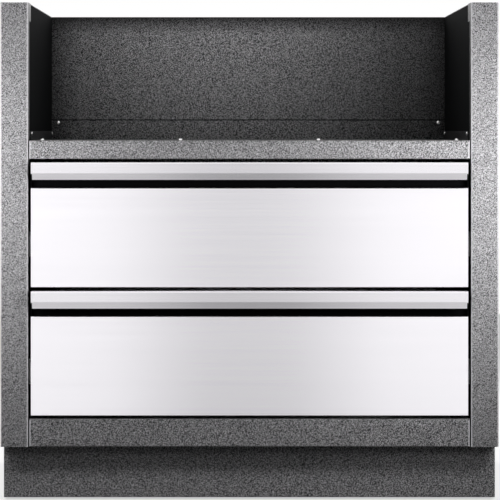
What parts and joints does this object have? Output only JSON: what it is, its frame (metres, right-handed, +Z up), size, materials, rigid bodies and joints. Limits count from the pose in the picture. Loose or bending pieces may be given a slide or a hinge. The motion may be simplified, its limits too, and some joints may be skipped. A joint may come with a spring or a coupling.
{
  "type": "under-grill cabinet",
  "caption": "Outdoor-kitchen base cabinet with an open bay for a built-in grill above wide stainless drawers on ball-bearing runners, with a set-back base and levelling feet.",
  "frame": {"origin": "on the floor, under the middle of the cabinet's box with the drawers closed", "axes": "+X to the right seen from the front, +Y from the drawer fronts to the rear panel, +Z up"},
  "size_m": [0.914, 0.6302, 0.92],
  "materials": {
    "hammered_grey": "hammered grey powder coat",
    "black_coat": "smooth satin black powder coat",
    "brushed_stainless": "brushed along its length",
    "galvanised_steel": "galvanised sheet with a faint spangle",
    "zinc_plate": "bright zinc plate",
    "screw_steel": "bright turned steel heads",
    "rubber": "matt black"
  },
  "bodies": {
    "cabinet": {"left_post": "hammered_grey", "right_post": "hammered_grey", "left_side_panel": "hammered_grey", "right_side_panel": "hammered_grey", "left_liner": "black_coat", "right_liner": "black_coat", "left_plinth": "hammered_grey", "right_plinth": "hammered_grey", "rear_panel": "hammered_grey", "hose_grommet": "rubber", "top_rail": "hammered_grey", "bottom_rail": "hammered_grey", "grill_deck": "hammered_grey", "cabinet_floor": "galvanised_steel", "kick_panel": "hammered_grey", "rear_plinth": "hammered_grey", "leveller_brackets": "galvanised_steel", "leveller_nuts": "zinc_plate", "post_screws": "hammered_grey", "deck_screws": "screw_steel", "upstand_screws": "screw_steel", "deck_side_screws": "screw_steel", "rear_panel_screws": "screw_steel", "runner_rivets": "zinc_plate", "upper_cabinet_runners": "zinc_plate", "lower_cabinet_runners": "zinc_plate"},
    "upper_drawer": {"upper_drawer_front": "brushed_stainless", "upper_drawer_pull": "brushed_stainless", "upper_finger_channel": "black_coat", "upper_inner_front": "galvanised_steel", "upper_box_left": "galvanised_steel", "upper_box_right": "galvanised_steel", "upper_box_bottom": "galvanised_steel", "upper_box_rear": "galvanised_steel", "upper_drawer_runners": "zinc_plate", "upper_front_screws": "screw_steel"},
    "upper_middle_runners": {"upper_middle_runners": "zinc_plate"},
    "upper_outer_cages": {"upper_outer_cages": "zinc_plate"},
    "upper_inner_cages": {"upper_inner_cages": "zinc_plate"},
    "lower_drawer": {"lower_drawer_front": "brushed_stainless", "lower_drawer_pull": "brushed_stainless", "lower_finger_channel": "black_coat", "lower_inner_front": "galvanised_steel", "lower_box_left": "galvanised_steel", "lower_box_right": "galvanised_steel", "lower_box_bottom": "galvanised_steel", "lower_box_rear": "galvanised_steel", "lower_drawer_runners": "zinc_plate", "lower_front_screws": "screw_steel"},
    "lower_middle_runners": {"lower_middle_runners": "zinc_plate"},
    "lower_outer_cages": {"lower_outer_cages": "zinc_plate"},
    "lower_inner_cages": {"lower_inner_cages": "zinc_plate"},
    "front_left_foot": {"front_left_foot": "zinc_plate"},
    "rear_left_foot": {"rear_left_foot": "zinc_plate"},
    "front_right_foot": {"front_right_foot": "zinc_plate"},
    "rear_right_foot": {"rear_right_foot": "zinc_plate"}
  },
  "joints": [
    {"name": "upper_drawer_slide", "type": "slide", "parent": "cabinet", "child": "upper_drawer", "axis": [0, -1, 0], "range_m": [0, 0.5]},
    {"name": "upper_middle_runners_slide", "type": "slide", "parent": "cabinet", "child": "upper_middle_runners", "axis": [0, -1, 0], "range_m": [0, 0.25]},
    {"name": "upper_outer_cages_slide", "type": "slide", "parent": "cabinet", "child": "upper_outer_cages", "axis": [0, -1, 0], "range_m": [0, 0.125]},
    {"name": "upper_inner_cages_slide", "type": "slide", "parent": "cabinet", "child": "upper_inner_cages", "axis": [0, -1, 0], "range_m": [0, 0.375]},
    {"name": "lower_drawer_slide", "type": "slide", "parent": "cabinet", "child": "lower_drawer", "axis": [0, -1, 0], "range_m": [0, 0.5]},
    {"name": "lower_middle_runners_slide", "type": "slide", "parent": "cabinet", "child": "lower_middle_runners", "axis": [0, -1, 0], "range_m": [0, 0.25]},
    {"name": "lower_outer_cages_slide", "type": "slide", "parent": "cabinet", "child": "lower_outer_cages", "axis": [0, -1, 0], "range_m": [0, 0.125]},
    {"name": "lower_inner_cages_slide", "type": "slide", "parent": "cabinet", "child": "lower_inner_cages", "axis": [0, -1, 0], "range_m": [0, 0.375]},
    {"name": "front_left_foot_height", "type": "slide", "parent": "cabinet", "child": "front_left_foot", "axis": [0, 0, -1], "range_m": [0, 0.02]},
    {"name": "rear_left_foot_height", "type": "slide", "parent": "cabinet", "child": "rear_left_foot", "axis": [0, 0, -1], "range_m": [0, 0.02]},
    {"name": "front_right_foot_height", "type": "slide", "parent": "cabinet", "child": "front_right_foot", "axis": [0, 0, -1], "range_m": [0, 0.02]},
    {"name": "rear_right_foot_height", "type": "slide", "parent": "cabinet", "child": "rear_right_foot", "axis": [0, 0, -1], "range_m": [0, 0.02]}
  ],
  "couplings": [
    {"joint": "upper_middle_runners_slide", "follows": "upper_drawer_slide", "ratio": 0.5},
    {"joint": "upper_outer_cages_slide", "follows": "upper_drawer_slide", "ratio": 0.25},
    {"joint": "upper_inner_cages_slide", "follows": "upper_drawer_slide", "ratio": 0.75},
    {"joint": "lower_middle_runners_slide", "follows": "lower_drawer_slide", "ratio": 0.5},
    {"joint": "lower_outer_cages_slide", "follows": "lower_drawer_slide", "ratio": 0.25},
    {"joint": "lower_inner_cages_slide", "follows": "lower_drawer_slide", "ratio": 0.75}
  ]
}
